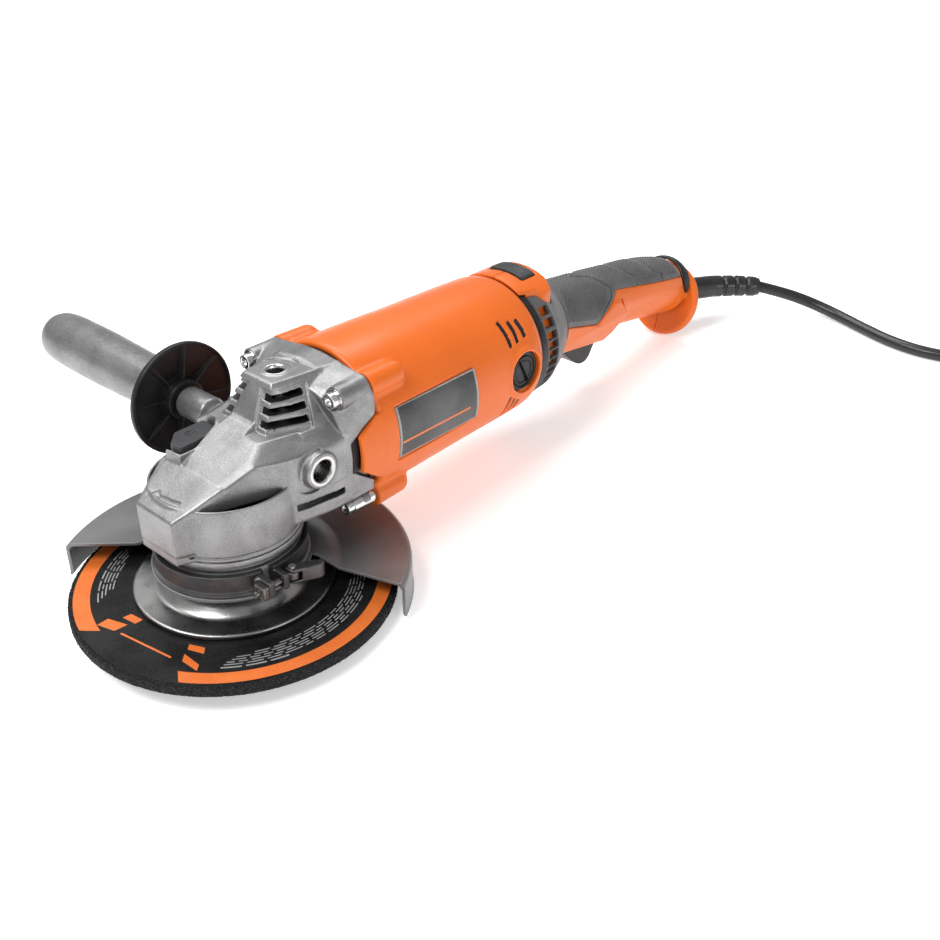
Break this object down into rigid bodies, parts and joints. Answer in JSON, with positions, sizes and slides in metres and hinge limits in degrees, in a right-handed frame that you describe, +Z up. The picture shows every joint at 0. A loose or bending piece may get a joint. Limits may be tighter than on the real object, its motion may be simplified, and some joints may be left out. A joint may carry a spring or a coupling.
{
  "type": "angle grinder",
  "caption": "Corded angle grinder with a depressed-centre wheel under a turning guard, a side handle, and a swivelling rear handle with a paddle trigger and mains lead.",
  "frame": {"origin": "on the surface the tool stands on, under the middle of its box without the lead; the tool leans back 3.2 degrees onto its guard and rear flange", "axes": "+Z up, +X back along the motor (leant with the tool), +Y towards the side handle"},
  "size_m": [0.7536, 0.5339, 0.1256],
  "materials": {
    "abrasive": "coarse bonded abrasive",
    "label_paper": "printed black paper with an orange band",
    "pressed_steel": "pressed, plated steel",
    "machined_steel": "turned and ground steel",
    "gear_steel": "hardened gear steel, oiled",
    "bearing_steel": "polished bearing rings",
    "cast_alloy": "die-cast alloy, painted silver with a fine grain",
    "guard_steel": "sheet steel, satin grey",
    "band_steel": "dark grey clamp band",
    "fastener_steel": "zinc-plated screws",
    "orange_housing": "orange glass-filled nylon, satin gloss",
    "black_plastic": "black nylon",
    "grey_rubber": "dark grey overmould, fine diamond texture",
    "grey_plastic": "dark grey nylon",
    "plate_grey": "blank name plate, brushed dark grey",
    "laminated_steel": "stacked steel laminations",
    "copper_wire": "varnished copper wire",
    "commutator_copper": "copper commutator bars",
    "brush_brass": "brass brush holders",
    "carbon": "carbon brush",
    "spring_steel": "spring wire",
    "handle_grey": "satin grey side handle",
    "cord_rubber": "black rubber, slight gloss",
    "tie_fabric": "hook and loop strap",
    "module_plastic": "potted electronics"
  },
  "bodies": {
    "tool_body": {"gear_case": "cast_alloy", "bearing_cover": "cast_alloy", "cover_screws": "fastener_steel", "lower_bearing": "bearing_steel", "upper_bearing": "bearing_steel", "spindle_seal": "black_plastic", "spindle_lock_spring": "spring_steel", "motor_housing": "orange_housing", "name_plates": "plate_grey", "air_baffle": "black_plastic", "gear_case_screws": "fastener_steel", "front_motor_bearing": "bearing_steel", "rear_motor_bearing": "bearing_steel", "stator_core": "laminated_steel", "field_coils": "copper_wire", "brush_holders": "brush_brass", "carbon_brushes": "carbon", "brush_springs": "spring_steel", "brush_caps": "black_plastic", "swivel_ring": "black_plastic", "side_handle_stud": "machined_steel", "side_handle_guard": "black_plastic", "side_handle_grip": "handle_grey"},
    "wheel_and_spindle": {"abrasive_wheel": "abrasive", "wheel_label": "label_paper", "wheel_hub": "pressed_steel", "spindle": "machined_steel", "spindle_gear": "gear_steel"},
    "armature": {"armature_shaft": "machined_steel", "pinion_gear": "gear_steel", "armature_core": "laminated_steel", "armature_windings": "copper_wire", "commutator": "commutator_copper", "cooling_fan": "black_plastic"},
    "guard": {"guard_shell": "guard_steel", "guard_clamp_band": "band_steel", "clamp_screw": "fastener_steel", "clamp_pin": "fastener_steel"},
    "guard_lever": {"clamp_lever": "band_steel"},
    "spindle_lock": {"spindle_lock_button": "grey_plastic", "spindle_lock_pin": "machined_steel"},
    "rear_handle": {"handle_shell_near": "orange_housing", "handle_shell_far": "orange_housing", "grip_rubber": "grey_rubber", "vent_collar": "grey_plastic", "handle_screws": "fastener_steel", "release_spring": "spring_steel", "trigger_pin": "machined_steel", "trigger_spring": "spring_steel", "switch_body": "module_plastic", "soft_start_module": "module_plastic", "cord_clamp": "black_plastic", "strain_relief": "cord_rubber", "power_cord": "cord_rubber", "cord_coil": "cord_rubber", "coil_tie": "tie_fabric", "plug_body": "cord_rubber", "plug_blades": "brush_brass"},
    "swivel_button": {"release_button": "grey_plastic"},
    "trigger_switch": {"trigger": "grey_plastic"}
  },
  "joints": [
    {"name": "spindle_spin", "type": "hinge", "parent": "tool_body", "child": "wheel_and_spindle", "pos_m": [-0.16613, -0.06105, 0.03738], "axis": [0.056, 0, 0.9984], "continuous": true},
    {"name": "armature_spin", "type": "hinge", "parent": "tool_body", "child": "armature", "pos_m": [-0.06372, -0.06105, 0.07751], "axis": [0.9984, 0, -0.056], "continuous": true},
    {"name": "guard_turn", "type": "hinge", "parent": "tool_body", "child": "guard", "pos_m": [-0.16613, -0.06105, 0.03738], "axis": [0.056, 0, 0.9984], "range_deg": [-75, 20]},
    {"name": "guard_lever_open", "type": "hinge", "parent": "guard", "child": "guard_lever", "pos_m": [-0.1626, -0.10726, 0.03779], "axis": [-0.056, 0, -0.9984], "range_deg": [0, 70]},
    {"name": "handle_twist", "type": "hinge", "parent": "tool_body", "child": "rear_handle", "pos_m": [0.05409, -0.06105, 0.0709], "axis": [0.9984, 0, -0.056], "range_deg": [-90, 90]},
    {"name": "swivel_button_press", "type": "slide", "parent": "rear_handle", "child": "swivel_button", "axis": [-0.056, 0, -0.9984], "range_m": [0, 0.003], "stiffness_N_per_m": 800, "springref_m": -0.004},
    {"name": "trigger_pull", "type": "hinge", "parent": "rear_handle", "child": "trigger_switch", "pos_m": [0.10734, -0.06105, 0.04709], "axis": [0, -1, 0], "range_deg": [0, 8], "stiffness_Nm_per_rad": 0.6, "springref_deg": -11.46},
    {"name": "spindle_lock_press", "type": "slide", "parent": "tool_body", "child": "spindle_lock", "axis": [-0.056, 0, -0.9984], "range_m": [0, 0.004], "stiffness_N_per_m": 600, "springref_m": -0.004}
  ],
  "couplings": [
    {"joint": "armature_spin", "follows": "spindle_spin", "ratio": 3.3333}
  ]
}
